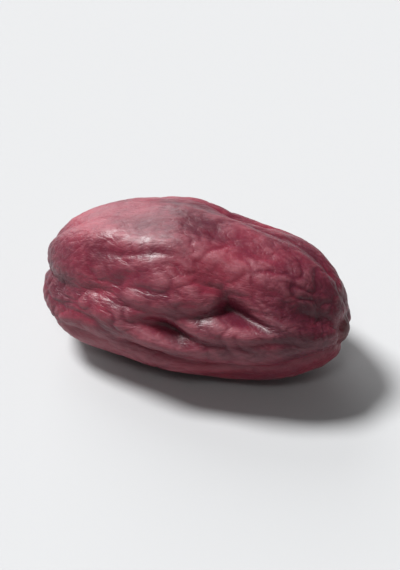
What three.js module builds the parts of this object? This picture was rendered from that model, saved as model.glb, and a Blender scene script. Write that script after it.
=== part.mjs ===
import * as THREE from 'three';
import { mergeVertices } from 'three/addons/utils/BufferGeometryUtils.js';

// A dried cornelian cherry lying on its side, in millimetres. X runs from the stalk end to the
// blossom end, Z is up, and the berry rests on Z = 0 with its middle over the origin.
// The skin is worked out in two steps: the plump fruit, and the folds and hollows it shrank into.

// The plump fruit: its three sizes, how fast each end rounds off, and how uneven it is
const bodyLength = 17.8;
const bodyWidth = 10.4;
const bodyHeight = 9.6;
const stalkEndPower = 0.4;
const blossomEndPower = 0.42;
const lumpiness = 0.09;

// The ends curl sideways, and hang a little lower than the middle
const sidewaysCurl = 0.45;
const downwardCurl = 0.14;

// A family of folds: creases run from end to end, more of them round the middle than at the ends,
// because at each fork one crease starts or stops
const mainFolds = { seed: 29, atEnds: 4, forks: 4, depth: 0.7, leastDepth: 0.1, plumpness: 0.85 };
const smallFolds = { seed: 39, atEnds: 11, forks: 9, depth: 0.22, leastDepth: 0.15, plumpness: 0.8 };

// Where the skin sank in further beside the stone: along the length, round the girth in degrees
// (90 on top, 180 in front), its reach along and round the berry, its depth, and its slant.
// The last one is a swelling above the two in front, where the skin sank in less.
const hollows = [
  { along: 0.49, angle: 168, length: 1.55, width: 0.85, depth: 1.05, slant: 0.2 },
  { along: 0.72, angle: 148, length: 1.65, width: 0.9, depth: 1.05, slant: 0.3 },
  { along: 0.58, angle: 60, length: 2.4, width: 1.3, depth: 0.6, slant: 0.1 },
  { along: 0.35, angle: 330, length: 2.2, width: 1.4, depth: 0.7, slant: 0 },
  { along: 0.7, angle: 290, length: 2.0, width: 1.2, depth: 0.55, slant: 0.2 },
  { along: 0.5, angle: 121, length: 2.8, width: 1.4, depth: -0.55, slant: 0.05 },
];

// All creases wander and quiver round the girth together, by this many radians
const wander = 0.22;
const quiver = 0.05;

// The creases' bottoms are rounded over this share of a fold. The hollows' sides follow a bell
// curve of this power. Small folds lose this share of their depth in the deepest crease.
const creaseRounding = 0.16;
const hollowPower = 1.1;
const smallFoldLoss = 0.5;

// Forks lie in a band near each end, given as shares of the length. They are scattered round the
// girth by this share of their spacing, and the creases fade out within this distance of them.
const forkBandStart = 0.10;
const forkBandWidth = 0.32;
const forkScatter = 0.6;
const forkClearance = 1.1;

// Folds die away where the ends get narrower than this share of the widest girth
const foldRoom = 0.6;

// The stalk left a round pit with a corky scar in it
const pitDepth = 0.75;
const pitRadius = 0.95;
const scarHeight = 0.28;
const scarFlatRadius = 0.3;
const scarOuterRadius = 0.62;

// The flower left a low point with a shallow groove round it
const tipHeight = 0.08;
const tipRadius = 0.5;
const grooveDepth = 0.18;
const grooveRadius = 0.85;
const grooveWidth = 0.3;

// The ridges underneath are pressed flat where the berry lies
const restFlattening = 0.6;

// Facets round the girth and along the length
const segmentsRound = 100;
const segmentsAlong = 59;

// Each noise draws its slopes on cells of these sizes, along the berry and across it, moved by
// this many cells. Creases are at their shallowest where the noise of their strength is at minus
// the contrast, and at their deepest where it is at plus the contrast.
const lumps = { cells: [6.7, 4.5, 4.5], shift: 3.3, seed: 41 };
const wanders = { cells: [7.7, 5.0, 5.0], shift: 5.2, seed: 51 };
const quivers = { cells: [2.9, 2.2, 2.2], shift: 1.7, seed: 52 };
const strengths = { cells: [5.9, 3.3, 3.3], shift: 9.1, seed: 3 };
const strengthContrast = 0.55;
const noiseGain = 1.9;

// Mix four whole numbers into one, the same on every run
function latticeHash(ix, iy, iz, seed) {
  let h = Math.imul(ix, 374761393) + Math.imul(iy, 668265263);
  h += Math.imul(iz, 1442695041) + Math.imul(seed, 974634777);
  h = Math.imul(h ^ (h >>> 13), 1274126177);
  h = Math.imul(h ^ (h >>> 16), 1103515245);
  return (h ^ (h >>> 15)) >>> 0;
}

// A seeded draw from 0 to 1
function chance(seed, index) {
  return latticeHash(index, 0, 0, seed) / 4294967296;
}

// Ease from 0 at low to 1 at high
function smooth(low, high, value) {
  const t = Math.min(Math.max((value - low) / (high - low), 0), 1);
  return t * t * (3 - 2 * t);
}

// Smooth noise, about -1 to 1: slopes drawn at the corners of each cell, blended between them
function noise(point, { cells, shift, seed }) {
  const at = point.map((value, axis) => value / cells[axis] + shift);
  const cell = at.map(Math.floor);
  const inside = at.map((value, axis) => value - cell[axis]);
  const blend = inside.map((f) => f * f * f * (f * (f * 6 - 15) + 10));
  let total = 0;
  for (let corner = 0; corner < 8; corner += 1) {
    const step = [corner & 1, (corner >> 1) & 1, corner >> 2];
    const hash = latticeHash(cell[0] + step[0], cell[1] + step[1], cell[2] + step[2], seed);
    let weight = 1;
    let slope = 0;
    for (let axis = 0; axis < 3; axis += 1) {
      weight *= step[axis] ? blend[axis] : 1 - blend[axis];
      slope += (((hash >>> (10 * axis)) & 1023) / 511.5 - 1) * (inside[axis] - step[axis]);
    }
    total += weight * slope;
  }
  return noiseGain * total;
}

// The girth along the length, as a share of the widest: 0 at both ends, 1 at the belly
function girth(along) {
  const belly = stalkEndPower / (stalkEndPower + blossomEndPower);
  return (along / belly) ** stalkEndPower * ((1 - along) / (1 - belly)) ** blossomEndPower;
}

// A point of the plump fruit's skin
function plumpPoint(along, angle) {
  const radius = girth(along) / 2;
  const point = [
    bodyLength * (along - 0.5),
    radius * bodyWidth * Math.cos(angle),
    radius * bodyHeight * Math.sin(angle),
  ];
  const swell = 1 + lumpiness * noise(point, lumps);
  return [point[0], point[1] * swell, point[2] * swell];
}

// The direction in which the plump fruit's skin faces, as on an ellipsoid
function facing(point) {
  const sizes = [bodyLength, bodyWidth, bodyHeight];
  return new THREE.Vector3(...point.map((value, axis) => value / sizes[axis] ** 2)).normalize();
}

// Where the forks of a family lie: at the stalk end a crease starts, at the blossom end one stops
function forksOf(family) {
  const forks = [];
  for (let k = 0; k < family.forks; k += 1) {
    for (const side of [0, 1]) {
      const inset = forkBandStart + forkBandWidth * chance(family.seed, 2 * k + side);
      const turn = k + 0.5 * side + forkScatter * chance(family.seed + 1, 2 * k + side);
      forks.push({
        along: side ? 1 - inset : inset,
        angle: 2 * Math.PI * turn / family.forks,
        sign: side ? 1 : -1,
      });
    }
  }
  return forks;
}

// The true angle round the girth of a line that would run straight if the creases didn't wander
function wanderedAngle(along, lineAngle) {
  const point = plumpPoint(along, lineAngle);
  return lineAngle + wander * noise(point, wanders) + quiver * noise(point, quivers);
}

// A plump fold between two creases: 1 on its crest, 0 in the creases, at each whole turn and a half
function foldProfile(phase, plumpness) {
  const height = Math.hypot(Math.cos(phase / 2), creaseRounding) ** plumpness;
  const bottom = creaseRounding ** plumpness;
  return (height - bottom) / (1 - bottom);
}

// How deep a family's creases are at a point, from 0 on a crest to 1 in the deepest crease.
// The phase gains one turn from crease to crease, and winds once round every fork.
function creaseShare(family, forks, point, along, lineAngle) {
  let phase = family.atEnds * lineAngle;
  let clear = 1;
  for (const fork of forks) {
    const half = (lineAngle - fork.angle) / 2;
    const ahead = (along - fork.along) * bodyLength / (bodyWidth / 2);
    phase += fork.sign * Math.atan2(Math.cos(half) * Math.tanh(ahead / 2), Math.sin(half));
    const distance = Math.hypot(ahead, 2 * Math.sin(half)) * bodyWidth / 2;
    clear *= smooth(0, forkClearance, distance);
  }
  const drawn = noise(point, { ...strengths, seed: family.seed + strengths.seed });
  const vary = smooth(-strengthContrast, strengthContrast, drawn);
  const strength = family.leastDepth + (1 - family.leastDepth) * vary;
  return (1 - foldProfile(phase, family.plumpness)) * strength * clear;
}

// How deep a hollow is at a point
function hollowDepth(hollow, along, lineAngle) {
  const halfTurns = (lineAngle / Math.PI - hollow.angle / 180 + 3) % 2 - 1;
  const ahead = (along - hollow.along) * bodyLength;
  const aside = halfTurns * Math.PI * bodyWidth / 2 - hollow.slant * ahead;
  const reach = (ahead / hollow.length) ** 2 + (aside / hollow.width) ** 2;
  return hollow.depth * Math.exp(-(reach ** hollowPower));
}

// How far the skin sank below the plump fruit. Small folds are shallower inside deep creases.
function sinkDepth(forks, point, along, lineAngle) {
  const main = creaseShare(mainFolds, forks.main, point, along, lineAngle);
  const small = creaseShare(smallFolds, forks.small, point, along, lineAngle);
  let depth = main * mainFolds.depth + small * smallFolds.depth * (1 - smallFoldLoss * main);
  for (const hollow of hollows) {
    depth += hollowDepth(hollow, along, lineAngle);
  }
  return depth * smooth(0, foldRoom, girth(along));
}

// How far the skin at an end moves along the berry, at a distance from its long axis
function stalkPit(distance) {
  const pit = pitDepth * Math.exp(-((distance / pitRadius) ** 2));
  return pit - scarHeight * (1 - smooth(scarFlatRadius, scarOuterRadius, distance));
}

function blossomTip(distance) {
  const tip = tipHeight * Math.exp(-((distance / tipRadius) ** 2));
  return tip - grooveDepth * Math.exp(-(((distance - grooveRadius) / grooveWidth) ** 2));
}

// The dried skin's point for one direction from the middle of the ball that it is formed from
function driedPoint(direction, forks) {
  const along = Math.min(Math.max((1 + direction.x) / 2, 0), 1);
  const lineAngle = Math.atan2(direction.z, direction.y);
  const plump = plumpPoint(along, wanderedAngle(along, lineAngle));
  const depth = sinkDepth(forks, plump, along, lineAngle);
  const point = new THREE.Vector3(...plump).addScaledVector(facing(plump), -depth);
  const distance = Math.hypot(point.y, point.z);
  point.x += along < 0.5 ? stalkPit(distance) : blossomTip(distance);
  const towardsEnd = (2 * along - 1) ** 2;
  point.y -= sidewaysCurl * towardsEnd;
  point.z -= downwardCurl * towardsEnd;
  return point;
}

// A closed ball of facets, its poles turned onto the berry's long axis
function facetedBall() {
  const ball = new THREE.SphereGeometry(1, segmentsRound, segmentsAlong);
  ball.deleteAttribute('normal');
  ball.deleteAttribute('uv');
  ball.rotateZ(-Math.PI / 2);
  return mergeVertices(ball);
}

// The mean of some of a mesh's corners
function middleOf(places, corners) {
  const middle = new THREE.Vector3();
  for (const corner of corners) {
    middle.add(new THREE.Vector3().fromBufferAttribute(places, corner));
  }
  return middle.divideScalar(corners.length);
}

// Split each four-sided facet along the diagonal that lies nearer the skin, to follow the creases.
// It starts as the triangles a b d and b c d. The rings at the poles have three-sided facets.
function splitFacets(index, directions, places, forks) {
  const ringOfTriangles = 3 * segmentsRound;
  for (let i = ringOfTriangles; i < index.count - ringOfTriangles; i += 6) {
    const [a, b, d] = index.array.slice(i, i + 3);
    const c = index.array[i + 4];
    const skin = driedPoint(middleOf(directions, [a, b, c, d]).normalize(), forks);
    const gapOfAC = middleOf(places, [a, c]).distanceTo(skin);
    const gapOfBD = middleOf(places, [b, d]).distanceTo(skin);
    if (gapOfAC < gapOfBD) {
      index.array.set([a, b, c, a, c, d], i);
    }
  }
}

// Stand the berry on Z = 0 with its middle over the origin, and flatten what would sink below
function layDown(geometry) {
  geometry.computeBoundingBox();
  const { min, max } = geometry.boundingBox;
  geometry.translate(-(min.x + max.x) / 2, -(min.y + max.y) / 2, -(min.z + restFlattening));
  const places = geometry.getAttribute('position');
  for (let i = 0; i < places.count; i += 1) {
    places.setZ(i, Math.max(places.getZ(i), 0));
  }
}

// The whole berry as one closed skin
function cherryGeometry() {
  const geometry = facetedBall();
  const places = geometry.getAttribute('position');
  const directions = places.clone();
  const forks = { main: forksOf(mainFolds), small: forksOf(smallFolds) };
  for (let i = 0; i < places.count; i += 1) {
    const direction = new THREE.Vector3().fromBufferAttribute(directions, i);
    const point = driedPoint(direction, forks);
    places.setXYZ(i, point.x, point.y, point.z);
  }
  splitFacets(geometry.getIndex(), directions, places, forks);
  layDown(geometry);
  geometry.computeVertexNormals();
  return geometry;
}

// Dark wine-red skin with a satin sheen
const skin = new THREE.MeshStandardMaterial({ color: 0x6e3744, roughness: 0.45, metalness: 0 });

const cherry = new THREE.Mesh(cherryGeometry(), skin);
cherry.name = 'cherry';

const berry = new THREE.Group();
berry.add(cherry);

export default berry;
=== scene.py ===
"""A dried cornelian cherry, about 17.6 mm long, lying on its side on a pale studio floor.

The berry's skin is worked out in the steps in which the fruit dried: a plump oblong fruit, the
hollows, main folds and small folds that its skin sank into, and then the puckers and hair-fine
creases between them. The hollows and folds are those of the solid that this skin stands for, so
both have the same form.

Lengths are in metres and angles in radians, where nothing else is said.
"""

import logging
import math
from dataclasses import dataclass, field
from enum import Enum

import bmesh
import bpy
import numpy as np
from mathutils import Matrix, Vector

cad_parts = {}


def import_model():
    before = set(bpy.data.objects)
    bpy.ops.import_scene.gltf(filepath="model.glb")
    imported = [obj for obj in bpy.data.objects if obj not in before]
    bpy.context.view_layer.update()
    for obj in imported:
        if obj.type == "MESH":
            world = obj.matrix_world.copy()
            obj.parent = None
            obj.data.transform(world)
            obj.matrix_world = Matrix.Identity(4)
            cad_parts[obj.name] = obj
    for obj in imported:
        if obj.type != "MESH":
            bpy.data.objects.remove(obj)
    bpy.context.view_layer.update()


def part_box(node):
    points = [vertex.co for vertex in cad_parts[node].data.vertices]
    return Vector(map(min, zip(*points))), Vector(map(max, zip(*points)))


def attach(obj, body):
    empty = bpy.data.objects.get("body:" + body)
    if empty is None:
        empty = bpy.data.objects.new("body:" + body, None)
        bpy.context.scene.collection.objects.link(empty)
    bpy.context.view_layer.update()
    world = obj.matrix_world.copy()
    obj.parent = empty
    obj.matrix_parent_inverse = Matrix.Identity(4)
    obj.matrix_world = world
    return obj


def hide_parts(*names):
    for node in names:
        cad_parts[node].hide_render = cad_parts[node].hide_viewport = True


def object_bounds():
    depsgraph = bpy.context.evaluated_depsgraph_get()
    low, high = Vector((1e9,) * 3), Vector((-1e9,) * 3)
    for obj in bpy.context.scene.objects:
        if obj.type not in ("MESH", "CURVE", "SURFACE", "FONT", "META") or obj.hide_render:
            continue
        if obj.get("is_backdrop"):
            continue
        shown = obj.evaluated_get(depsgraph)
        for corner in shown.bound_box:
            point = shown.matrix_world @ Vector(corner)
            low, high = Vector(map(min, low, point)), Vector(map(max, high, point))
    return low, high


LOG = logging.getLogger("cornelian_cherry")
PICTURE_WIDTH = 400
PICTURE_HEIGHT = 570
MM = 0.001

# What the seeded draws are mixed with, round by round, and how many bits a mixed number has
HASH_FACTORS = (374761393, 668265263, 1442695041, 974634777)
HASH_ROUNDS = ((13, 1274126177), (16, 1103515245))
HASH_LAST_SHIFT = 15
HASH_BITS = 32

# How many bits a noise takes for each of its three draws at a cell's corner
DRAW_BITS = 10

# The Mix node's sockets where it blends colours
MIX_SHARE, MIX_LOWER, MIX_UPPER, MIX_RESULT = 0, 6, 7, 2

# The node group of fine creases, and the middle level of the noise that they run along
CREASE_GROUP = "crease_lines"
NOISE_MIDDLE = 0.5

Span = tuple[float, float]
Triple = tuple[float, float, float]
Colour = tuple[float, float, float]
Socket = bpy.types.NodeSocket


class Mask(Enum):
    """What the skin's own attributes say about each of its points."""

    ALONG_FOLDS = "along_folds"
    CREST = "crest"
    HOLLOW = "hollow"
    STALK_SCAR = "stalk_scar"
    BLOSSOM_END = "blossom_end"


def ease(low: float, high: float, value: np.ndarray) -> np.ndarray:
    """Eases from 0 at low to 1 at high.

    Args:
        low: The value at which the result leaves 0.
        high: The value at which the result reaches 1.
        value: Any array of numbers.

    Returns:
        An array of the same shape, from 0 to 1.
    """
    t = np.clip((value - low) / (high - low), 0.0, 1.0)
    return t * t * (3.0 - 2.0 * t)


def lattice_hash(ix: np.ndarray, iy: np.ndarray, iz: np.ndarray, seed: int) -> np.ndarray:
    """Mixes four whole numbers into one of 32 bits, the same on every run.

    Args:
        ix: Whole numbers along the first axis.
        iy: Whole numbers along the second axis.
        iz: Whole numbers along the third axis.
        seed: Which pattern is drawn.

    Returns:
        Whole numbers from 0 to 2**32 - 1.
    """
    low_bits = 2**HASH_BITS - 1
    mixed = sum(part * by for part, by in zip((ix, iy, iz, seed), HASH_FACTORS)) & low_bits
    for shift, by in HASH_ROUNDS:
        mixed = ((mixed ^ (mixed >> shift)) * by) & low_bits
    return mixed ^ (mixed >> HASH_LAST_SHIFT)


def chance(seed: int, index: int) -> float:
    """Returns a seeded draw from 0 to 1."""
    zero = np.int64(0)
    return float(lattice_hash(np.int64(index), zero, zero, seed)) / 2.0**HASH_BITS


def direction_from(azimuth: float, elevation: float) -> Vector:
    """Returns the unit direction towards a stand, azimuth 0 in front and 90 to the right."""
    a, e = math.radians(azimuth), math.radians(elevation)
    return Vector((math.sin(a) * math.cos(e), -math.cos(a) * math.cos(e), math.sin(e)))


def mesh_from(bm: bmesh.types.BMesh, name: str) -> bpy.types.Mesh:
    """Turns a bmesh into a mesh and frees it.

    Args:
        bm: The bmesh, which can't be used after this.
        name: What the mesh is called.

    Returns:
        The mesh.
    """
    mesh = bpy.data.meshes.new(name)
    bm.to_mesh(mesh)
    bm.free()
    return mesh


def add_object(name: str, data: bpy.types.ID) -> bpy.types.Object:
    """Puts a mesh, a light or a camera into the scene, and returns its object."""
    made = bpy.data.objects.new(name, data)
    bpy.context.scene.collection.objects.link(made)
    return made


def aim(stand: bpy.types.Object, place: Vector, direction: Vector) -> None:
    """Sets a light or a camera up.

    Args:
        stand: The light or the camera.
        place: Where it stands.
        direction: Where it looks.
    """
    stand.location = place
    stand.rotation_mode = "QUATERNION"
    stand.rotation_quaternion = direction.to_track_quat("-Z", "Y")


@dataclass(frozen=True)
class Noise:
    """Smooth noise of about -1 to 1: slopes drawn at each cell's corners, blended between them.

    Attributes:
        cells: The cell's size along the berry, across it and up.
        shift: How many cells the pattern is moved by.
        seed: Which pattern is drawn.
        gain: What brings the blended slopes up to about -1 to 1.
    """

    cells: Triple
    shift: float
    seed: int
    gain: float = 1.9

    def at(self, points: np.ndarray) -> np.ndarray:
        """Works the noise out at points.

        Args:
            points: Places, with x, y and z last.

        Returns:
            One number for each point.
        """
        place = points / np.array(self.cells) + self.shift
        cell = np.floor(place)
        inside = place - cell
        cell = cell.astype(np.int64)
        blend = inside**3 * (inside * (inside * 6.0 - 15.0) + 10.0)
        most = 2**DRAW_BITS - 1
        total = np.zeros(points.shape[:-1])
        for corner in range(8):
            step = (corner & 1, (corner >> 1) & 1, corner >> 2)
            mixed = lattice_hash(*(cell[..., axis] + step[axis] for axis in range(3)), self.seed)
            weight = np.ones_like(total)
            slope = np.zeros_like(total)
            for axis in range(3):
                part = blend[..., axis]
                weight *= part if step[axis] else 1.0 - part
                drawn = ((mixed >> (DRAW_BITS * axis)) & most) / (most / 2.0) - 1.0
                slope += drawn * (inside[..., axis] - step[axis])
            total += weight * slope
        return self.gain * total


@dataclass(frozen=True)
class PlumpFruit:
    """The fruit before it dried: an oblong body, blunter at its stalk end, and slightly uneven.

    Attributes:
        length: From the stalk end to the blossom end.
        width: Across.
        height: From below to above.
        stalk_end_power: How the stalk end rounds off, blunter when lower.
        blossom_end_power: How the blossom end rounds off, blunter when lower.
        lumpiness: How far the girth swells and narrows, as a share of itself.
        lumps: Where the girth swells.
    """

    length: float = 17.8 * MM
    width: float = 10.4 * MM
    height: float = 9.6 * MM
    stalk_end_power: float = 0.40
    blossom_end_power: float = 0.42
    lumpiness: float = 0.09
    lumps: Noise = Noise((6.7 * MM, 4.5 * MM, 4.5 * MM), 3.3, 41)

    def girth(self, along: np.ndarray) -> np.ndarray:
        """Works out how thick the fruit is.

        Args:
            along: From 0 at the stalk end to 1 at the blossom end.

        Returns:
            The girth as a share of the widest: 0 at both ends, 1 at the belly.
        """
        stalk, blossom = self.stalk_end_power, self.blossom_end_power
        belly = stalk / (stalk + blossom)
        return (along / belly) ** stalk * ((1.0 - along) / (1.0 - belly)) ** blossom

    def points(self, along: np.ndarray, angle: np.ndarray) -> np.ndarray:
        """Places points of the plump skin.

        Args:
            along: From 0 at the stalk end to 1 at the blossom end.
            angle: Round the girth.

        Returns:
            Places, with x, y and z last.
        """
        radius = self.girth(along) / 2.0
        places = np.stack(
            [
                self.length * (along - 0.5),
                radius * self.width * np.cos(angle),
                radius * self.height * np.sin(angle),
            ],
            axis=-1,
        )
        swell = 1.0 + self.lumpiness * self.lumps.at(places)
        places[..., 1] *= swell
        places[..., 2] *= swell
        return places

    def facing(self, points: np.ndarray) -> np.ndarray:
        """Returns the unit direction in which the skin faces at points, as on an ellipsoid."""
        outward = points / np.array([self.length, self.width, self.height]) ** 2
        return outward / np.linalg.norm(outward, axis=-1, keepdims=True)


@dataclass(frozen=True)
class SkinSpots:
    """Spots on the plump fruit's skin.

    Attributes:
        along: From 0 at the stalk end to 1 at the blossom end.
        line: The angle that stays the same along a crease.
        places: Points of the plump skin, with x, y and z last.
    """

    along: np.ndarray
    line: np.ndarray
    places: np.ndarray


@dataclass(frozen=True)
class Fork:
    """A place where one crease starts or stops between its neighbours.

    Attributes:
        along: From 0 at the stalk end to 1 at the blossom end.
        angle: Round the girth.
        sign: -1 where a crease starts, 1 where one stops.
    """

    along: float
    angle: float
    sign: float


@dataclass(frozen=True)
class FoldFamily:
    """Creases that run from end to end, more of them round the middle than at the ends.

    Attributes:
        seed: Which pattern is drawn. The seeds 1 and 3 above it are taken as well.
        at_ends: How many creases reach the ends.
        fork_pairs: How many more there are round the middle.
        depth: How deep the deepest crease is.
        least_depth: How deep the shallowest is, as a share of the deepest.
        plumpness: The power of the folds' profile, plumper when lower.
        rounding: How far the creases' bottoms are rounded, as a share of a fold.
        band_start: Where the band of forks starts, as a share of the length.
        band_width: How wide that band is, as a share of the length.
        fork_scatter: How far forks are scattered round the girth, as a share of their spacing.
        clearance: How far from a fork the folds reach their full depth.
        strength_cells: The size of the stretches that are deep or shallow.
        strength_shift: How many cells the pattern of those stretches is moved by.
        strength_contrast: The pattern's level at which a crease is as deep as it gets.
    """

    seed: int
    at_ends: int
    fork_pairs: int
    depth: float
    least_depth: float
    plumpness: float
    rounding: float = 0.16
    band_start: float = 0.10
    band_width: float = 0.32
    fork_scatter: float = 0.6
    clearance: float = 1.1 * MM
    strength_cells: Triple = (5.9 * MM, 3.3 * MM, 3.3 * MM)
    strength_shift: float = 9.1
    strength_contrast: float = 0.55

    def forks(self) -> list[Fork]:
        """Places the forks: creases start near the stalk end and stop near the other.

        Returns:
            The family's forks.
        """
        found = []
        for pair in range(self.fork_pairs):
            for side, sign in enumerate((-1.0, 1.0)):
                draw = 2 * pair + side
                inset = self.band_start + self.band_width * chance(self.seed, draw)
                turn = pair + 0.5 * side + self.fork_scatter * chance(self.seed + 1, draw)
                along = 1.0 - inset if side else inset
                found.append(Fork(along, math.tau * turn / self.fork_pairs, sign))
        return found

    def profile(self, phase: np.ndarray) -> np.ndarray:
        """Works out how high folds are.

        Args:
            phase: How far across a fold, 0 on its crest and pi in the crease.

        Returns:
            From 1 on a crest to 0 in a crease.
        """
        height = np.hypot(np.cos(phase / 2.0), self.rounding) ** self.plumpness
        bottom = self.rounding**self.plumpness
        return (height - bottom) / (1.0 - bottom)

    def crease_share(self, fruit: PlumpFruit, spots: SkinSpots) -> np.ndarray:
        """Works out how deep the creases are, from 0 on a crest to 1 in the deepest crease.

        The phase gains one turn from crease to crease, and winds once round every fork.

        Args:
            fruit: The plump fruit that the creases are in.
            spots: Spots on its skin.

        Returns:
            One share for each spot.
        """
        reach = fruit.width / 2.0
        phase = self.at_ends * spots.line
        clear = np.ones_like(spots.along)
        for fork in self.forks():
            half = (spots.line - fork.angle) / 2.0
            ahead = (spots.along - fork.along) * fruit.length / reach
            phase = phase + fork.sign * np.arctan2(np.cos(half) * np.tanh(ahead / 2.0), np.sin(half))
            distance = np.hypot(ahead, 2.0 * np.sin(half)) * reach
            clear *= ease(0.0, self.clearance, distance)
        pattern = Noise(self.strength_cells, self.strength_shift, self.seed + 3)
        vary = ease(-self.strength_contrast, self.strength_contrast, pattern.at(spots.places))
        strength = self.least_depth + (1.0 - self.least_depth) * vary
        return (1.0 - self.profile(phase)) * strength * clear


@dataclass(frozen=True)
class Hollow:
    """A place where the skin sank in beside the stone.

    Attributes:
        along: Its middle, from 0 at the stalk end to 1 at the blossom end.
        angle: Its middle round the girth, in degrees, 90 on top and 180 in front.
        length: How far it reaches along the berry from its middle.
        width: How far it reaches round the girth from its middle.
        depth: How deep it is, below 0 for a swelling where the skin sank in less.
        slant: How much it turns round the girth towards the blossom end.
        power: How sharply its rim bends, 1 for a bell curve.
    """

    along: float
    angle: float
    length: float
    width: float
    depth: float
    slant: float = 0.0
    power: float = 1.1

    def depths(self, fruit: PlumpFruit, spots: SkinSpots) -> np.ndarray:
        """Works out how far the skin sinks into the hollow.

        Args:
            fruit: The plump fruit that the hollow is in.
            spots: Spots on its skin.

        Returns:
            A depth for each spot.
        """
        turn = np.remainder(spots.line - math.radians(self.angle) + math.pi, math.tau) - math.pi
        ahead = (spots.along - self.along) * fruit.length
        aside = turn * fruit.width / 2.0 - self.slant * ahead
        reach = (ahead / self.length) ** 2 + (aside / self.width) ** 2
        return self.depth * np.exp(-(reach**self.power))


@dataclass(frozen=True)
class CreaseNet:
    """A net of narrow creases that branch every way, along the zero lines of a warped noise.

    Attributes:
        depth: How deep the creases are.
        width: How wide they are, in the noise's own units.
        pattern: The noise whose zero lines they follow.
        warp: How far the pattern is pulled about.
        warp_cells: The size of those pulls.
        warp_seed: Which pulls are drawn. The next two seeds are taken as well.
        warp_shift: How many cells each axis's pulls are moved from those of the last.
        patches: Where the net shows, or None where it is all over.
        patch_edge: The patches' levels at which the net starts to show and shows fully.
    """

    depth: float
    width: float
    pattern: Noise
    warp: float
    warp_cells: Triple
    warp_seed: int
    warp_shift: float = 8.0
    patches: Noise | None = None
    patch_edge: Span = (-0.5, 0.4)

    def depths(self, places: np.ndarray) -> np.ndarray:
        """Works out how far the skin sinks into the net.

        Args:
            places: Points of the plump skin.

        Returns:
            A depth for each point.
        """
        pulls = [
            Noise(self.warp_cells, self.warp_shift * axis, self.warp_seed + axis).at(places)
            for axis in range(3)
        ]
        warped = places + self.warp * np.stack(pulls, axis=-1)
        sunk = self.depth * np.exp(-np.abs(self.pattern.at(warped)) / self.width)
        if self.patches is not None:
            sunk = sunk * ease(*self.patch_edge, self.patches.at(places))
        return sunk


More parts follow.
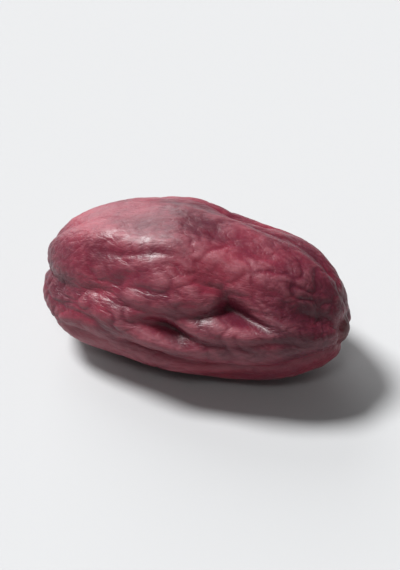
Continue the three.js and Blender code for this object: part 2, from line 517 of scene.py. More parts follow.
@dataclass
class DriedSkin:
    """The dried fruit's skin: how each point of a ball moves to where the skin lies.

    Attributes:
        fruit: The plump fruit that it shrank from.
        main: The folds that give the berry its outline.
        small: The folds between them.
        small_fold_loss: How much of the small folds' depth is lost in the deepest main crease.
        puckers: The net of puckers between the folds.
        hairlines: The finest creases.
        hollows: Where the skin sank in further, or less.
        wander: How far all creases wander round the girth together.
        wander_noise: The noise that they wander by.
        quiver: How far they quiver.
        quiver_noise: The noise that they quiver by.
        fold_room: The share of the widest girth under which the folds die away.
        net_room: The share of the widest girth under which the puckers and hairlines die away.
        sideways_curl: How far the ends curl to the front.
        downward_curl: How far they hang down.
        rest_flattening: How far the ridges underneath are pressed flat.
        rest_rounding: How softly the skin bends into the flat spots.
        pit_depth: How far the stalk end is drawn in.
        pit_radius: How wide that pit is.
        scar_height: How far the stalk scar stands up in the pit.
        scar_flat_radius: Up to where the scar is flat.
        scar_outer_radius: Where the scar ends.
        scar_colour_edge: Where the scar's colour starts to fade and where it ends.
        tip_height: How far the blossom end's point stands out.
        tip_radius: How wide that point is.
        groove_depth: How deep the groove round the point is.
        groove_radius: How far from the point the groove runs.
        groove_width: How wide the groove is.
        tip_colour_edge: Where the point's colour starts to fade and where it ends.
    """

    fruit: PlumpFruit = PlumpFruit()
    main: FoldFamily = FoldFamily(29, 4, 4, 0.70 * MM, 0.10, 0.85)
    small: FoldFamily = FoldFamily(39, 11, 9, 0.22 * MM, 0.15, 0.8)
    small_fold_loss: float = 0.5
    puckers: CreaseNet = CreaseNet(
        depth=0.11 * MM,
        width=0.34,
        pattern=Noise((1.9 * MM, 1.05 * MM, 1.05 * MM), 0.4, 61),
        warp=0.5 * MM,
        warp_cells=(1.8 * MM, 1.2 * MM, 1.2 * MM),
        warp_seed=81,
        patches=Noise((4.0 * MM, 4.0 * MM, 4.0 * MM), 4.1, 62),
    )
    hairlines: CreaseNet = CreaseNet(
        depth=0.035 * MM,
        width=0.35,
        pattern=Noise((1.0 * MM, 0.38 * MM, 0.38 * MM), 0.7, 81),
        warp=0.22 * MM,
        warp_cells=(0.9 * MM, 0.9 * MM, 0.9 * MM),
        warp_seed=101,
    )
    hollows: tuple[Hollow, ...] = (
        Hollow(0.49, 168.0, 1.55 * MM, 0.85 * MM, 1.05 * MM, 0.20),
        Hollow(0.72, 148.0, 1.65 * MM, 0.90 * MM, 1.05 * MM, 0.30),
        Hollow(0.58, 60.0, 2.40 * MM, 1.30 * MM, 0.60 * MM, 0.10),
        Hollow(0.35, 330.0, 2.20 * MM, 1.40 * MM, 0.70 * MM),
        Hollow(0.70, 290.0, 2.00 * MM, 1.20 * MM, 0.55 * MM, 0.20),
        Hollow(0.50, 121.0, 2.80 * MM, 1.40 * MM, -0.55 * MM, 0.05),
    )
    wander: float = 0.22
    wander_noise: Noise = Noise((7.7 * MM, 5.0 * MM, 5.0 * MM), 5.2, 51)
    quiver: float = 0.05
    quiver_noise: Noise = Noise((2.9 * MM, 2.2 * MM, 2.2 * MM), 1.7, 52)
    fold_room: float = 0.6
    net_room: float = 0.3
    sideways_curl: float = 0.45 * MM
    downward_curl: float = 0.14 * MM
    rest_flattening: float = 0.6 * MM
    rest_rounding: float = 0.12 * MM
    pit_depth: float = 0.75 * MM
    pit_radius: float = 0.95 * MM
    scar_height: float = 0.28 * MM
    scar_flat_radius: float = 0.3 * MM
    scar_outer_radius: float = 0.62 * MM
    scar_colour_edge: Span = (0.55 * MM, 0.8 * MM)
    tip_height: float = 0.08 * MM
    tip_radius: float = 0.5 * MM
    groove_depth: float = 0.18 * MM
    groove_radius: float = 0.85 * MM
    groove_width: float = 0.3 * MM
    tip_colour_edge: Span = (0.35 * MM, 1.1 * MM)

    def stalk_pit(self, distance: np.ndarray) -> np.ndarray:
        """Shapes the stalk end, a pit with a scar that stands up in it.

        Args:
            distance: How far each point is from the long axis.

        Returns:
            How far it moves towards the berry's middle.
        """
        pit = self.pit_depth * np.exp(-((distance / self.pit_radius) ** 2))
        scar = 1.0 - ease(self.scar_flat_radius, self.scar_outer_radius, distance)
        return pit - self.scar_height * scar

    def blossom_tip(self, distance: np.ndarray) -> np.ndarray:
        """Shapes the blossom end, a low point with a groove round it.

        Args:
            distance: How far each point is from the long axis.

        Returns:
            How far it moves away from the berry's middle.
        """
        tip = self.tip_height * np.exp(-((distance / self.tip_radius) ** 2))
        groove = np.exp(-(((distance - self.groove_radius) / self.groove_width) ** 2))
        return tip - self.groove_depth * groove

    def wandered_angle(self, along: np.ndarray, line: np.ndarray) -> np.ndarray:
        """Lets the creases wander and quiver.

        Args:
            along: From 0 at the stalk end to 1 at the blossom end.
            line: The angle that stays the same along a crease.

        Returns:
            The true angle round the girth.
        """
        places = self.fruit.points(along, line)
        slow = self.wander * self.wander_noise.at(places)
        quick = self.quiver * self.quiver_noise.at(places)
        return line + slow + quick

    def sinking(self, spots: SkinSpots) -> np.ndarray:
        """Works out how far the skin sank in as the fruit dried.

        Args:
            spots: Spots on the plump skin.

        Returns:
            A depth for each spot.
        """
        girth = self.fruit.girth(spots.along)
        main = self.main.crease_share(self.fruit, spots)
        small = self.small.crease_share(self.fruit, spots)
        left = 1.0 - self.small_fold_loss * main
        folds = main * self.main.depth + small * self.small.depth * left
        folds = folds + sum(hollow.depths(self.fruit, spots) for hollow in self.hollows)
        nets = self.puckers.depths(spots.places) + self.hairlines.depths(spots.places)
        return folds * ease(0.0, self.fold_room, girth) + nets * ease(0.0, self.net_room, girth)

    def laid_down(self, skin: np.ndarray) -> np.ndarray:
        """Lays the skin down on Z = 0, the ridges underneath pressed flat.

        Args:
            skin: The skin's points.

        Returns:
            The points with their middle over the origin.
        """
        low, high = skin.min(axis=0), skin.max(axis=0)
        middle = (low + high) / 2.0
        laid = skin - [middle[0], middle[1], low[2] + self.rest_flattening]
        laid[:, 2] = (laid[:, 2] + np.hypot(laid[:, 2], self.rest_rounding)) / 2.0
        laid[:, 2] -= laid[:, 2].min()
        return laid

    def form(self, ball: np.ndarray) -> tuple[np.ndarray, dict[Mask, np.ndarray]]:
        """Moves the points of a unit ball, its poles on X, to where the dried skin lies.

        Args:
            ball: Points of the unit ball.

        Returns:
            The skin's points, on Z = 0 with their middle over the origin, and the masks that don't
            depend on its crests and hollows.
        """
        fruit = self.fruit
        along = np.clip((1.0 + ball[:, 0]) / 2.0, 0.0, 1.0)
        line = np.arctan2(ball[:, 2], ball[:, 1])
        plump = fruit.points(along, self.wandered_angle(along, line))
        sunk = self.sinking(SkinSpots(along, line, plump))
        skin = plump - fruit.facing(plump) * sunk[:, None]

        distance = np.hypot(skin[:, 1], skin[:, 2])
        at_stalk = along < 0.5
        skin[:, 0] += np.where(at_stalk, self.stalk_pit(distance), self.blossom_tip(distance))
        towards_end = (2.0 * along - 1.0) ** 2
        skin[:, 1] -= self.sideways_curl * towards_end
        skin[:, 2] -= self.downward_curl * towards_end

        radius = fruit.girth(along) * fruit.width / 2.0
        straight = np.stack([plump[:, 0], radius * np.cos(line), radius * np.sin(line)], axis=-1)
        scar = np.where(at_stalk, 1.0 - ease(*self.scar_colour_edge, distance), 0.0)
        tip = np.where(at_stalk, 0.0, 1.0 - ease(*self.tip_colour_edge, distance))
        masks = {Mask.ALONG_FOLDS: straight, Mask.STALK_SCAR: scar, Mask.BLOSSOM_END: tip}
        return self.laid_down(skin), masks


@dataclass(frozen=True)
class Ramp:
    """How one value is eased into another.

    Attributes:
        leaves: The value at which the result leaves start.
        reaches: The value at which the result reaches end.
        start: What the result starts from.
        end: What the result comes to.
    """

    leaves: float
    reaches: float | Socket
    start: float = 0.0
    end: float = 1.0


@dataclass(frozen=True)
class Grain:
    """A noise that a finish is made of.

    Attributes:
        scale: How many cells there are to a metre.
        detail: How many finer noises are laid over it.
        roughness: How strong those finer noises are.
    """

    scale: float
    detail: float = 2.0
    roughness: float = 0.5


class NodeBoard:
    """A node tree being wired up, one node at a time."""

    def __init__(self, tree: bpy.types.NodeTree) -> None:
        """Takes the tree over, empty."""
        tree.nodes.clear()
        self.tree = tree

    def add(self, kind: str, inputs: dict | None = None, **settings: object) -> bpy.types.Node:
        """Adds a node.

        Args:
            kind: The node's type, such as ShaderNodeMath.
            inputs: What goes into its sockets, by name or number: a value or another socket.
            settings: The node's own properties.

        Returns:
            The new node.
        """
        node = self.tree.nodes.new(kind)
        for name, value in settings.items():
            setattr(node, name, value)
        for key, value in (inputs or {}).items():
            if isinstance(value, bpy.types.NodeSocket):
                self.tree.links.new(value, node.inputs[key])
            else:
                node.inputs[key].default_value = value
        return node

    def calculate(self, operation: str, *values: Socket | float, clamp: bool = False) -> Socket:
        """Returns the result of a Math node on values or sockets."""
        inputs = dict(enumerate(values))
        return self.add("ShaderNodeMath", inputs, operation=operation, use_clamp=clamp).outputs[0]

    def spread(self, value: Socket, ramp: Ramp) -> Socket:
        """Returns a value eased along a ramp."""
        inputs = {0: value, 1: ramp.leaves, 2: ramp.reaches, 3: ramp.start, 4: ramp.end}
        return self.add("ShaderNodeMapRange", inputs, interpolation_type="SMOOTHSTEP").outputs[0]

    def blend(self, share: Socket | float, under: Socket | Colour, over: Socket | Colour) -> Socket:
        """Blends two colours.

        Args:
            share: How much of the upper colour shows, from 0 to 1.
            under: The lower colour.
            over: The upper colour.

        Returns:
            The blended colour.
        """
        lower, upper = (
            colour if isinstance(colour, bpy.types.NodeSocket) else (*colour, 1.0)
            for colour in (under, over)
        )
        inputs = {MIX_SHARE: share, MIX_LOWER: lower, MIX_UPPER: upper}
        return self.add("ShaderNodeMix", inputs, data_type="RGBA").outputs[MIX_RESULT]

    def noise(self, place: Socket, grain: Grain) -> Socket:
        """Returns a grain's noise at a place, of about 0 to 1."""
        inputs = {
            "Vector": place,
            "Scale": grain.scale,
            "Detail": grain.detail,
            "Roughness": grain.roughness,
        }
        return self.add("ShaderNodeTexNoise", inputs).outputs[0]

    def attribute(self, mask: Mask, output: str = "Fac") -> Socket:
        """Returns one of the skin's own attributes."""
        return self.add("ShaderNodeAttribute", attribute_name=mask.value).outputs[output]

    def mapped(self, place: Socket, **how: Triple) -> Socket:
        """Returns a place that is moved by its Location or scaled by its Scale."""
        return self.add("ShaderNodeMapping", {"Vector": place, **how}).outputs[0]

    def shade(self, inputs: dict) -> None:
        """Ends a material with its Principled shader."""
        shader = self.add("ShaderNodeBsdfPrincipled", inputs)
        self.add("ShaderNodeOutputMaterial", {"Surface": shader.outputs[0]})


def new_material(name: str) -> tuple[bpy.types.Material, NodeBoard]:
    """Returns a new material, and the board that its empty tree is wired up on."""
    material = bpy.data.materials.new(name)
    material.use_nodes = True
    return material, NodeBoard(material.node_tree)


@dataclass(frozen=True)
class CreaseLines:
    """Fine creases in a skin: thin lines along a noise's middle level, made by one node group.

    Attributes:
        scale: How many cells there are to a metre.
        warp: How far the lines are pulled about.
        width: How wide the lines are, from 0 to 0.5.
        depth: How deep they are, as a share of the relief's height.
    """

    scale: float
    warp: float
    width: float
    depth: float

    @staticmethod
    def group() -> bpy.types.NodeTree:
        """Builds the node group on its first use.

        Returns:
            The group, with the inputs Place, Scale, Warp and Width and the output Line.
        """
        found = bpy.data.node_groups.get(CREASE_GROUP)
        if found:
            return found
        tree = bpy.data.node_groups.new(CREASE_GROUP, "ShaderNodeTree")
        face = tree.interface
        face.new_socket("Place", in_out="INPUT", socket_type="NodeSocketVector")
        for socket in ("Scale", "Warp", "Width"):
            face.new_socket(socket, in_out="INPUT", socket_type="NodeSocketFloat")
        face.new_socket("Line", in_out="OUTPUT", socket_type="NodeSocketFloat")
        board = NodeBoard(tree)
        given = board.add("NodeGroupInput").outputs
        place, scale, warp, width = (given[k] for k in range(4))

        inputs = {"Vector": place, "Scale": scale, "Detail": 1.0}
        pull = board.add("ShaderNodeTexNoise", inputs).outputs["Color"]
        inputs = {0: pull, 1: (NOISE_MIDDLE,) * 3}
        centred = board.add("ShaderNodeVectorMath", inputs, operation="SUBTRACT").outputs[0]
        inputs = {0: centred, "Scale": warp}
        scaled = board.add("ShaderNodeVectorMath", inputs, operation="SCALE").outputs[0]
        moved = board.add("ShaderNodeVectorMath", {0: place, 1: scaled}).outputs[0]
        inputs = {"Vector": moved, "Scale": scale, "Detail": 2.0}
        level = board.add("ShaderNodeTexNoise", inputs).outputs[0]
        away = board.calculate("ABSOLUTE", board.calculate("SUBTRACT", level, NOISE_MIDDLE))
        line = board.spread(away, Ramp(0.0, width, 1.0, 0.0))
        board.add("NodeGroupOutput", {0: line})
        return tree

    def place(self, board: NodeBoard, where: Socket) -> Socket:
        """Puts the creases into a material.

        Args:
            board: The material's tree.
            where: The coordinates that the lines are drawn in.

        Returns:
            A value that is 1 on the lines and 0 away from them.
        """
        inputs = {"Place": where, "Scale": self.scale, "Warp": self.warp, "Width": self.width}
        return board.add("ShaderNodeGroup", inputs, node_tree=self.group()).outputs["Line"]


@dataclass(frozen=True)
class CherrySkinFinish:
    """Wine-red dried skin: rosy on its crests, partly from dust and partly from painted sheen, with
    painted shade near black in its creases and hollows, satin all over.

    Attributes:
        dark_wine: The skin's darkest patches.
        wine: The skin's own colour.
        red: Redder patches, where the skin is thinner.
        rose: The crests, partly their dry dust and partly a painted sheen from the soft lights.
        crease_shade: Painted shade in the bottoms of the creases and in the hollows.
        cork: The stalk scar.
        husk: The blossom end's dry point, and the skin round the scar.
        patches: The noise of the colour patches.
        patch_shift: How far the colour patches are moved over the skin.
        wine_share: How much wine shows over dark wine, by the patches.
        red_share: How much red shows over both, by the patches.
        streaks: The noise of the streaks along the folds.
        streak_stretch: The scale of the streaks' coordinates, low along the folds.
        red_streak_share: How much red the streaks show.
        dark_streak_share: How much dark wine they show.
        mottles: The noise that breaks up the dry crests.
        mottle_dryness: How dry and dusty the crests are, and so how much painted sheen they show, by
            the mottles.
        crest_share: How much of the rose, partly dust and partly painted sheen, shows on the crests.
        crease_share: How much of the painted crease shade shows, by how deep the skin lies.
        tip_share: How much of the husk's colour the blossom end's point shows.
        scar_rim_share: How much of the husk's colour shows towards the stalk scar.
        scar_share: How much of the scar's own face shows on it.
        grit: The noise of that face.
        cork_share: How much cork shows on it, by the grit.
        sheen: The noise that the skin's roughness varies with.
        skin_roughness: How rough the skin is, by that noise.
        dry_roughness: How much rougher the dry crests are.
        hollow_roughness: How much rougher the hollows are.
        scar_roughness: How much rougher the stalk scar is.
        coat: The skin's thin waxy gloss, by how dry the skin is.
        coat_roughness: How rough that gloss is.
        reflection: How strongly the skin reflects, 0.5 for a refractive index of 1.5.
        translucency: How much of its light the skin takes from inside.
        light_reach: How far red, green and blue light reach inside, as shares of light_depth.
        light_depth: How far red light reaches inside.
        line_stretch: The scale of the fine creases' coordinates, low along the folds.
        lines: The fine creases.
        pores: The noise of the pores.
        pore_height: How high the skin stands between them, as a share of the relief's height.
        relief_strength: How strongly the relief turns the surface, from 0 to 1.
        relief_height: How high the relief is.
    """

    dark_wine: Colour = (0.075, 0.008, 0.019)
    wine: Colour = (0.148, 0.013, 0.031)
    red: Colour = (0.245, 0.026, 0.047)
    rose: Colour = (0.370, 0.125, 0.152)
    crease_shade: Colour = (0.040, 0.002, 0.006)
    cork: Colour = (0.165, 0.098, 0.068)
    husk: Colour = (0.050, 0.018, 0.013)
    patches: Grain = Grain(180.0, 4.0, 0.6)
    patch_shift: Triple = (0.029, 0.003, 0.019)
    wine_share: Ramp = Ramp(0.34, 0.60)
    red_share: Ramp = Ramp(0.46, 0.70, 0.0, 0.70)
    streaks: Grain = Grain(1300.0, 4.0)
    streak_stretch: Triple = (0.25, 1.0, 1.0)
    red_streak_share: Ramp = Ramp(0.50, 0.75, 0.0, 0.25)
    dark_streak_share: Ramp = Ramp(0.50, 0.25, 0.0, 0.30)
    mottles: Grain = Grain(900.0, 5.0, 0.62)
    mottle_dryness: Ramp = Ramp(0.32, 0.68, 0.35, 1.0)
    crest_share: float = 0.48
    crease_share: Ramp = Ramp(0.10, 1.0, 0.0, 0.85)
    tip_share: float = 0.7
    scar_rim_share: Ramp = Ramp(0.0, 0.45)
    scar_share: Ramp = Ramp(0.55, 1.0)
    grit: Grain = Grain(4200.0)
    cork_share: Ramp = Ramp(0.30, 0.70, 0.3, 0.9)
    sheen: Grain = Grain(1800.0, 3.0)
    skin_roughness: Ramp = Ramp(0.30, 0.70, 0.37, 0.49)
    dry_roughness: float = 0.15
    hollow_roughness: float = 0.10
    scar_roughness: float = 0.35
    coat: Ramp = Ramp(0.0, 0.8, 0.10, 0.05)
    coat_roughness: float = 0.22
    reflection: float = 0.40
    translucency: float = 0.12
    light_reach: Triple = (1.0, 0.22, 0.12)
    light_depth: float = 0.6 * MM
    line_stretch: Triple = (0.4, 1.0, 1.0)
    lines: tuple[CreaseLines, ...] = (
        CreaseLines(2600.0, 0.10 * MM, 0.10, 1.0),
        CreaseLines(6500.0, 0.04 * MM, 0.12, 0.45),
    )
    pores: Grain = Grain(14000.0)
    pore_height: float = 0.35
    relief_strength: float = 0.5
    relief_height: float = 0.02 * MM

    def skin_colour(self, board: NodeBoard, folds: Socket, place: Socket) -> Socket:
        """Wires up the colour of the plain skin, with its patches and streaks.

        Args:
            board: The material's tree.
            folds: Coordinates that run straight along the folds.
            place: The object's own coordinates.

        Returns:
            The colour.
        """
        patches = board.noise(board.mapped(place, Location=self.patch_shift), self.patches)
        streaks = board.noise(board.mapped(folds, Scale=self.streak_stretch), self.streaks)
        body = board.blend(board.spread(patches, self.wine_share), self.dark_wine, self.wine)
        body = board.blend(board.spread(patches, self.red_share), body, self.red)
        body = board.blend(board.spread(streaks, self.red_streak_share), body, self.red)
        return board.blend(board.spread(streaks, self.dark_streak_share), body, self.dark_wine)

    def dust_and_sheen(self, board: NodeBoard, place: Socket) -> Socket:
        """Returns how dusty the crests are, which also sets their painted sheen, from 0 to 1:
        mottled on its crests, 0 elsewhere.
        """
        mottled = board.spread(board.noise(place, self.mottles), self.mottle_dryness)
        return board.calculate("MULTIPLY", board.attribute(Mask.CREST), mottled)

    def end_colours(self, board: NodeBoard, body: Socket, place: Socket) -> Socket:
        """Lays the colours of the blossom end's point and of the stalk scar over the skin's.

        Args:
            board: The material's tree.
            body: The skin's colour.
            place: The object's own coordinates.

        Returns:
            The colour.
        """
        tip = board.calculate("MULTIPLY", board.attribute(Mask.BLOSSOM_END), self.tip_share)
        body = board.blend(tip, body, self.husk)
        scar = board.attribute(Mask.STALK_SCAR)
        body = board.blend(board.spread(scar, self.scar_rim_share), body, self.husk)
        grit = board.noise(place, self.grit)
        cork = board.blend(board.spread(grit, self.cork_share), self.husk, self.cork)
        return board.blend(board.spread(scar, self.scar_share), body, cork)

    def relief(self, board: NodeBoard, folds: Socket, place: Socket) -> Socket:
        """Wires up the finest relief, too small for the mesh.

        Args:
            board: The material's tree.
            folds: Coordinates that run straight along the folds.
            place: The object's own coordinates.

        Returns:
            The surface's normal.
        """
        along = board.mapped(folds, Scale=self.line_stretch)
        height = board.calculate("MULTIPLY", board.noise(place, self.pores), self.pore_height)
        for lines in self.lines:
            height = board.calculate("MULTIPLY_ADD", lines.place(board, along), -lines.depth, height)
        inputs = {"Height": height, "Strength": self.relief_strength, "Distance": self.relief_height}
        return board.add("ShaderNodeBump", inputs).outputs[0]

    def build(self) -> bpy.types.Material:
        """Wires up the whole finish.

        Returns:
            The finished material.
        """
        material, board = new_material("cherry_skin")
        folds = board.attribute(Mask.ALONG_FOLDS, "Vector")
        place = board.add("ShaderNodeTexCoord").outputs["Object"]
        hollow = board.attribute(Mask.HOLLOW)
        scar = board.attribute(Mask.STALK_SCAR)
        dust_and_sheen = self.dust_and_sheen(board, place)

        # Painted sheen, partly: the crests turn rose, for their dust and for the sheen of the soft
        # lights.
        dust_and_sheen_share = board.calculate("MULTIPLY", dust_and_sheen, self.crest_share)
        colour = board.blend(dust_and_sheen_share, self.skin_colour(board, folds, place), self.rose)
        # Painted shade: the creases and hollows are darkened towards near black.
        colour = board.blend(board.spread(hollow, self.crease_share), colour, self.crease_shade)

        rough = board.spread(board.noise(place, self.sheen), self.skin_roughness)
        rough = board.calculate("MULTIPLY_ADD", dust_and_sheen, self.dry_roughness, rough)
        rough = board.calculate("MULTIPLY_ADD", hollow, self.hollow_roughness, rough)
        rough = board.calculate("MULTIPLY_ADD", scar, self.scar_roughness, rough, clamp=True)
        bare = board.calculate("SUBTRACT", 1.0, board.calculate("MAXIMUM", hollow, scar))
        inputs = {
            "Base Color": self.end_colours(board, colour, place),
            "Roughness": rough,
            "Coat Weight": board.calculate("MULTIPLY", bare, board.spread(dust_and_sheen, self.coat)),
            "Coat Roughness": self.coat_roughness,
            "Normal": self.relief(board, folds, place),
            "Subsurface Weight": self.translucency,
            "Subsurface Radius": self.light_reach,
            "Subsurface Scale": self.light_depth,
            "Specular IOR Level": self.reflection,
        }
        board.shade(inputs)
        return material


@dataclass(frozen=True)
class CrestsAndHollows:
    """Where the skin's crests and hollows are: the crests get lighter rose, partly dust and partly
    painted sheen, and the hollows get painted shade.

    The skin is smoothed in two lots of rounds. What stands proud of the smoothed skin is a crest,
    and what lies under it is a hollow.

    Attributes:
        fine_rounds: Rounds of smoothing that level the small folds.
        broad_rounds: Further rounds, which level the main folds.
        smoothing: How far a round moves each point towards the middle of its neighbours.
        fine_share: How much the small folds count for. The main folds count for the rest.
        fine_crest: How far small folds stand out to start to count, and to count in full.
        fine_hollow: How far they sink in for that.
        broad_crest: How far main folds stand out to start to count, and to count in full.
        broad_hollow: How far they sink in for that.
    """

    fine_rounds: int = 8
    broad_rounds: int = 50
    smoothing: float = 0.5
    fine_share: float = 0.3
    fine_crest: Span = (0.0024 * MM, 0.0144 * MM)
    fine_hollow: Span = (0.004 * MM, 0.024 * MM)
    broad_crest: Span = (0.0, 0.10 * MM)
    broad_hollow: Span = (0.02 * MM, 0.20 * MM)

    def masks(self, bm: bmesh.types.BMesh) -> dict[Mask, np.ndarray]:
        """Finds the crests and the hollows.

        Args:
            bm: The berry's skin, its faces pointing outwards.

        Returns:
            The masks of both, each from 0 to 1.
        """
        bm.normal_update()
        points = np.array([vert.co for vert in bm.verts])
        normals = np.array([vert.normal for vert in bm.verts])
        level = bm.copy()
        heights = []
        for rounds in (self.fine_rounds, self.broad_rounds):
            self.smooth(level, rounds)
            smoothed = np.array([vert.co for vert in level.verts])
            heights.append(np.einsum("ij,ij->i", points - smoothed, normals))
        level.free()
        fine, broad = heights
        LOG.info("relief %.3f to %.3f mm", broad.min() / MM, broad.max() / MM)
        return {
            Mask.CREST: self.both(ease(*self.fine_crest, fine), ease(*self.broad_crest, broad)),
            Mask.HOLLOW: self.both(ease(*self.fine_hollow, -fine), ease(*self.broad_hollow, -broad)),
        }

    def smooth(self, level: bmesh.types.BMesh, rounds: int) -> None:
        """Smooths a skin by rounds."""
        axes = {"use_axis_x": True, "use_axis_y": True, "use_axis_z": True}
        for _ in range(rounds):
            bmesh.ops.smooth_vert(level, verts=level.verts, factor=self.smoothing, **axes)

    def both(self, fine: np.ndarray, broad: np.ndarray) -> np.ndarray:
        """Returns what small and main folds come to together."""
        return fine * self.fine_share + broad * (1.0 - self.fine_share)


@dataclass
class Cherry:
    """The berry: its skin as one closed mesh, its masks and its finish.

    Attributes:
        name: What the piece is called.
        node: The solid that the berry stands for.
        skin: How the berry's skin lies.
        crests_and_hollows: Where it is a crest or a hollow.
        finish: What the skin looks like.
        segments_round: Facets round the girth.
        segments_along: Facets from end to end.
    """

    name: str = "dried_cherry"
    node: str = "cherry"
    skin: DriedSkin = field(default_factory=DriedSkin)
    crests_and_hollows: CrestsAndHollows = CrestsAndHollows()
    finish: CherrySkinFinish = CherrySkinFinish()
    segments_round: int = 384
    segments_along: int = 248

    def build(self) -> bpy.types.Object:
        """Makes the berry.

        Returns:
            The finished piece, in the frame's own place.
        """
        bm = bmesh.new()
        bmesh.ops.create_uvsphere(
            bm, u_segments=self.segments_round, v_segments=self.segments_along, radius=1.0
        )
        turn = Matrix.Rotation(math.pi / 2.0, 3, "Y")
        bmesh.ops.rotate(bm, cent=(0.0, 0.0, 0.0), matrix=turn, verts=bm.verts)
        ball = np.array([vert.co for vert in bm.verts])
        points, masks = self.skin.form(ball)
        for vert, point in zip(bm.verts, self.fitted(points)):
            vert.co = point
        bmesh.ops.recalc_face_normals(bm, faces=bm.faces)
        masks |= self.crests_and_hollows.masks(bm)
        mesh = mesh_from(bm, self.name)
        mesh.shade_smooth()
        for mask, values in masks.items():
            self.write_mask(mesh, mask, values)
        mesh.materials.append(self.finish.build())
        return add_object(self.name, mesh)

    def fitted(self, points: np.ndarray) -> np.ndarray:
        """Draws the skin in to its solid's box where it reaches past it.

        Args:
            points: The skin's points.

        Returns:
            The points inside the box.
        """
        low, high = (np.array(corner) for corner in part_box(self.node))
        reach = np.abs(points[:, :2]).max(axis=0)
        room = np.minimum(np.abs(low[:2]), high[:2])
        scale = np.append(np.minimum(1.0, room / reach), min(1.0, high[2] / points[:, 2].max()))
        LOG.info("drawn in to its solid's box by %s", np.round(scale, 4))
        return points * scale

    @staticmethod
    def write_mask(mesh: bpy.types.Mesh, mask: Mask, values: np.ndarray) -> None:
        """Stores a mask on the mesh.

        Args:
            mesh: The berry's mesh.
            mask: Which mask it is.
            values: One number or one place for each vertex.
        """
        kind, part = ("FLOAT_VECTOR", "vector") if values.ndim == 2 else ("FLOAT", "value")
        layer = mesh.attributes.new(mask.value, kind, "POINT")
        layer.data.foreach_set(part, values.astype(np.float32).ravel())


@dataclass(frozen=True)
class StudioLight:
    """A broad studio light, so far off that it lights the berry and the whole floor alike.

    Attributes:
        name: What the light is called.
        azimuth: Where it stands, in degrees, 0 in front and 90 to the right.
        elevation: How high it stands, in degrees.
        breadth: How broad it looks from the berry, in degrees.
        strength: Its strength in watts per square metre.
    """

    name: str
    azimuth: float
    elevation: float
    breadth: float
    strength: float

    def build(self) -> None:
        """Sets the light up so that it faces the berry."""
        lamp = bpy.data.lights.new(self.name, "SUN")
        lamp.energy = self.strength
        lamp.angle = math.radians(self.breadth)
        towards = direction_from(self.azimuth, self.elevation)
        aim(add_object(self.name, lamp), towards, -towards)

    def on_floor(self) -> float:
        """Returns what the light sheds on the floor, in watts per square metre."""
        return self.strength * math.sin(math.radians(self.elevation))


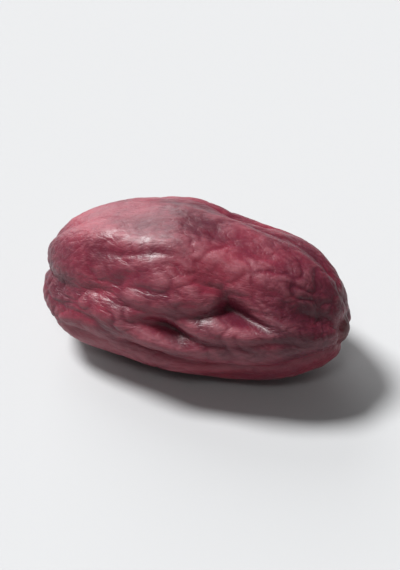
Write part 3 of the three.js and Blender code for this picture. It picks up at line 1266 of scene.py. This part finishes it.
@dataclass
class Studio:
    """The pale floor, the soft light and the camera.

    Attributes:
        azimuth: Where the camera stands, in degrees, 0 in front and 90 to the right.
        elevation: How far it looks down, in degrees, as in the photograph.
        lens: Its focal length in millimetres.
        frame_share: How much of the picture's width the berry takes.
        width_share: How much of the berry's width counts towards that, its ends being round.
        clip_factor: How many times nearer and farther than the berry the camera still sees.
        floor_colour: The floor's colour.
        floor_size: The floor's side.
        floor_gap: How far the floor lies under the berry, so that no faces coincide.
        sky: The strength of the light from all round.
        lights: The studio lights.
    """

    azimuth: float = 20.0
    elevation: float = 40.0
    lens: float = 200.0
    frame_share: float = 0.80
    width_share: float = 0.35
    clip_factor: float = 50.0
    floor_colour: Colour = (0.460, 0.465, 0.472)
    floor_size: float = 2.0
    floor_gap: float = 0.005 * MM
    sky: float = 0.12
    lights: tuple[StudioLight, ...] = (
        StudioLight("key", -95.0, 58.0, 18.0, 5.10),
        StudioLight("back", -135.0, 25.0, 50.0, 1.90),
        StudioLight("front", 10.0, 55.0, 14.0, 0.38),
    )

    def build(self) -> None:
        """Sets the studio up round the finished berry."""
        low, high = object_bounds()
        self.build_floor()
        self.build_sky()
        for light in self.lights:
            light.build()
        self.build_camera((low + high) / 2.0, high - low)

    def build_floor(self) -> None:
        """Lays the floor."""
        bm = bmesh.new()
        bmesh.ops.create_grid(bm, x_segments=1, y_segments=1, size=self.floor_size / 2.0)
        bmesh.ops.translate(bm, verts=bm.verts, vec=(0.0, 0.0, -self.floor_gap))
        mesh = mesh_from(bm, "floor")
        material, board = new_material("floor")
        colour = (*self.floor_colour, 1.0)
        board.shade({"Base Color": colour, "Roughness": 1.0, "Specular IOR Level": 0.0})
        mesh.materials.append(material)
        add_object("floor", mesh)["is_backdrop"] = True

    def lit_floor(self) -> Colour:
        """Returns the lit floor's tone, which the backdrop repeats past the floor's edge."""
        light = math.pi * self.sky + sum(lamp.on_floor() for lamp in self.lights)
        return tuple(channel * light / math.pi for channel in self.floor_colour)

    def build_sky(self) -> None:
        """Sets the even light from all round, and the backdrop behind the floor."""
        world = bpy.data.worlds.new("studio")
        world.use_nodes = True
        board = NodeBoard(world.node_tree)
        even = board.add("ShaderNodeBackground", {"Color": (1.0,) * 4, "Strength": self.sky})
        pale = board.add("ShaderNodeBackground", {"Color": (*self.lit_floor(), 1.0)})
        seen = board.add("ShaderNodeLightPath").outputs["Is Camera Ray"]
        inputs = {0: seen, 1: even.outputs[0], 2: pale.outputs[0]}
        shown = board.add("ShaderNodeMixShader", inputs)
        board.add("ShaderNodeOutputWorld", {"Surface": shown.outputs[0]})
        bpy.context.scene.world = world
        bpy.context.scene.view_settings.view_transform = "Standard"

    def build_camera(self, target: Vector, extent: Vector) -> None:
        """Aims the camera.

        Args:
            target: What the camera looks at.
            extent: The berry's size along X, Y and Z.
        """
        lens = bpy.data.cameras.new("camera")
        lens.lens = self.lens
        shown = lens.sensor_width / self.lens * PICTURE_WIDTH / PICTURE_HEIGHT
        turned = math.radians(self.azimuth)
        across = extent.x * math.cos(turned) + extent.y * abs(math.sin(turned)) * self.width_share
        distance = across / self.frame_share / shown
        lens.clip_start = distance / self.clip_factor
        lens.clip_end = distance * self.clip_factor
        back = direction_from(self.azimuth, self.elevation)
        camera = add_object("camera", lens)
        aim(camera, target + back * distance, -back)
        bpy.context.scene.camera = camera


def main() -> None:
    """Builds the berry and the studio round it."""
    logging.basicConfig(level=logging.INFO, format="%(name)s: %(message)s")
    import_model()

    cherry = Cherry()
    piece = cherry.build()
    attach(piece, "root")
    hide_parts(cherry.node)
    LOG.info("%s: %d vertices", piece.name, len(piece.data.vertices))

    Studio().build()
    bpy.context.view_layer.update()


if __name__ == "__main__":
    main()
